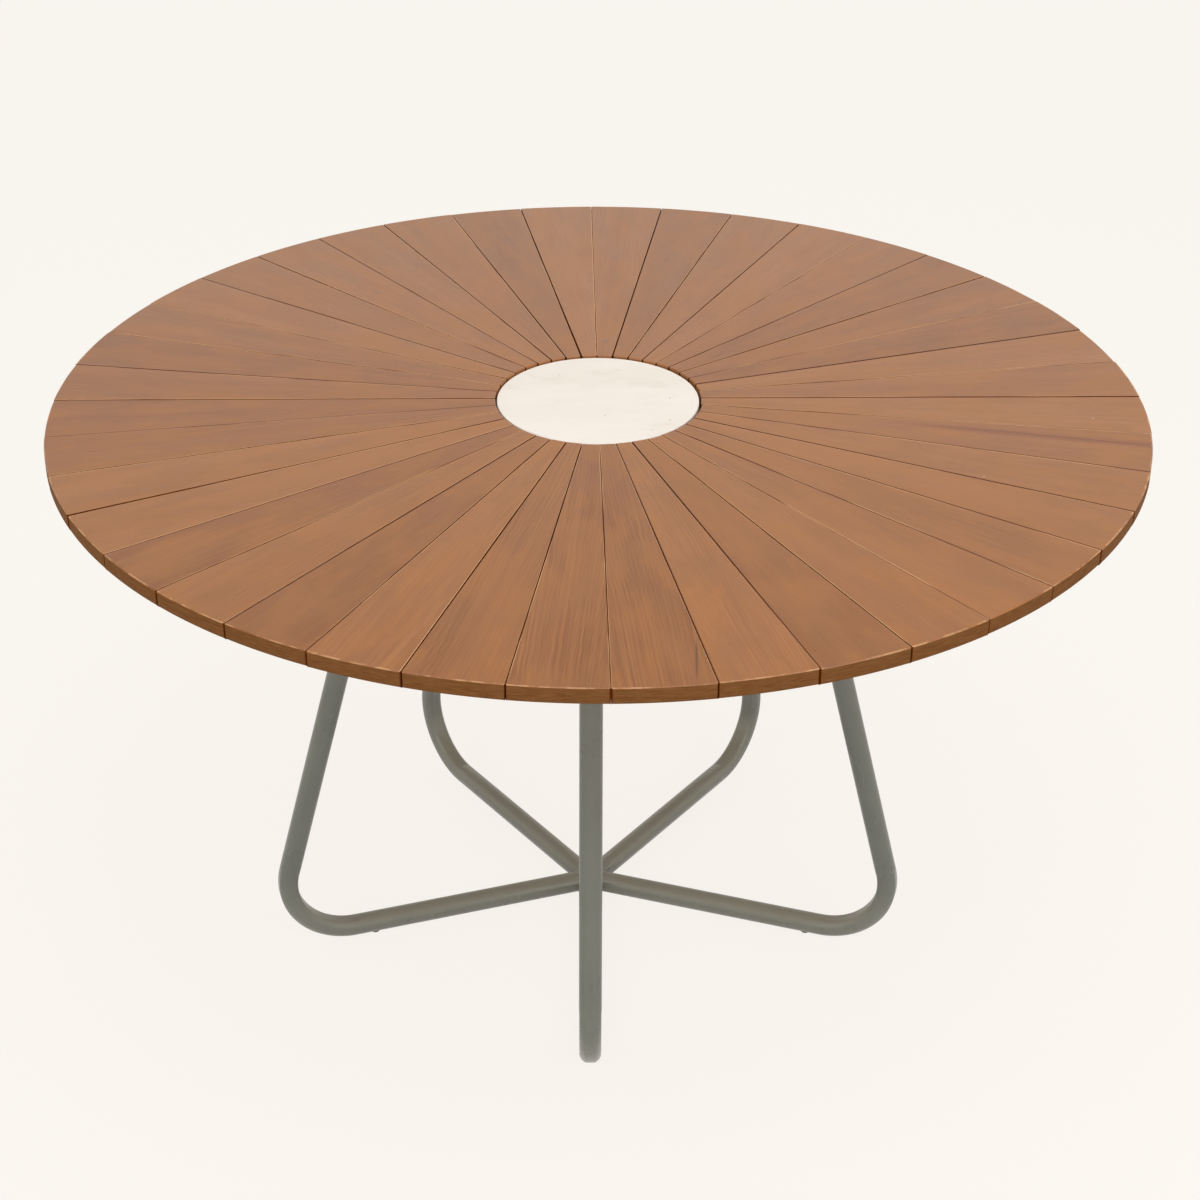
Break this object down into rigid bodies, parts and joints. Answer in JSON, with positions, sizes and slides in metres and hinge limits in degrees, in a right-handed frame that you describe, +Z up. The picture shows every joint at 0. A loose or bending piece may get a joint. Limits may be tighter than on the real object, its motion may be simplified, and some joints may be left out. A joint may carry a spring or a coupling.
{
  "type": "outdoor dining table",
  "caption": "Round outdoor dining table: tapered wooden slats round a loose stone disc, on bent steel tube legs that meet at a hub on the floor.",
  "frame": {"origin": "on the floor, under the middle of the round top", "axes": "+Z up, square to the top; -Y towards the viewer of the picture; +X to the right in it"},
  "size_m": [1.3, 1.3, 0.73],
  "materials": {
    "slat_wood": "oiled, satin, straight fine grain along each slat",
    "stone": "honed pale travertine",
    "painted_steel": "satin powder coat, grey-green",
    "zinc_steel": "zinc plated",
    "rubber": "matt",
    "glide_plastic": "matt nylon"
  },
  "bodies": {
    "table": {"slat_01": "slat_wood", "slat_02": "slat_wood", "slat_03": "slat_wood", "slat_04": "slat_wood", "slat_05": "slat_wood", "slat_06": "slat_wood", "slat_07": "slat_wood", "slat_08": "slat_wood", "slat_09": "slat_wood", "slat_10": "slat_wood", "slat_11": "slat_wood", "slat_12": "slat_wood", "slat_13": "slat_wood", "slat_14": "slat_wood", "slat_15": "slat_wood", "slat_16": "slat_wood", "slat_17": "slat_wood", "slat_18": "slat_wood", "slat_19": "slat_wood", "slat_20": "slat_wood", "slat_21": "slat_wood", "slat_22": "slat_wood", "slat_23": "slat_wood", "slat_24": "slat_wood", "slat_25": "slat_wood", "slat_26": "slat_wood", "slat_27": "slat_wood", "slat_28": "slat_wood", "slat_29": "slat_wood", "slat_30": "slat_wood", "slat_31": "slat_wood", "slat_32": "slat_wood", "slat_33": "slat_wood", "slat_34": "slat_wood", "slat_35": "slat_wood", "slat_36": "slat_wood", "slat_37": "slat_wood", "slat_38": "slat_wood", "slat_39": "slat_wood", "slat_40": "slat_wood", "stone_pads": "rubber", "inner_ring": "painted_steel", "outer_ring": "painted_steel", "arm_front": "painted_steel", "arm_right": "painted_steel", "arm_back_right": "painted_steel", "arm_back_left": "painted_steel", "arm_left": "painted_steel", "leg_front": "painted_steel", "leg_right": "painted_steel", "leg_back_right": "painted_steel", "leg_back_left": "painted_steel", "leg_left": "painted_steel", "leg_plates": "painted_steel", "hub_disc": "painted_steel", "leg_fasteners": "zinc_steel", "slat_screws": "zinc_steel", "hub_pad": "rubber", "floor_glides": "glide_plastic"},
    "stone": {"centre_stone": "stone"}
  },
  "joints": [
    {"name": "stone_lift", "type": "slide", "parent": "table", "child": "stone", "axis": [0, 0, 1], "range_m": [0, 0.06]}
  ]
}
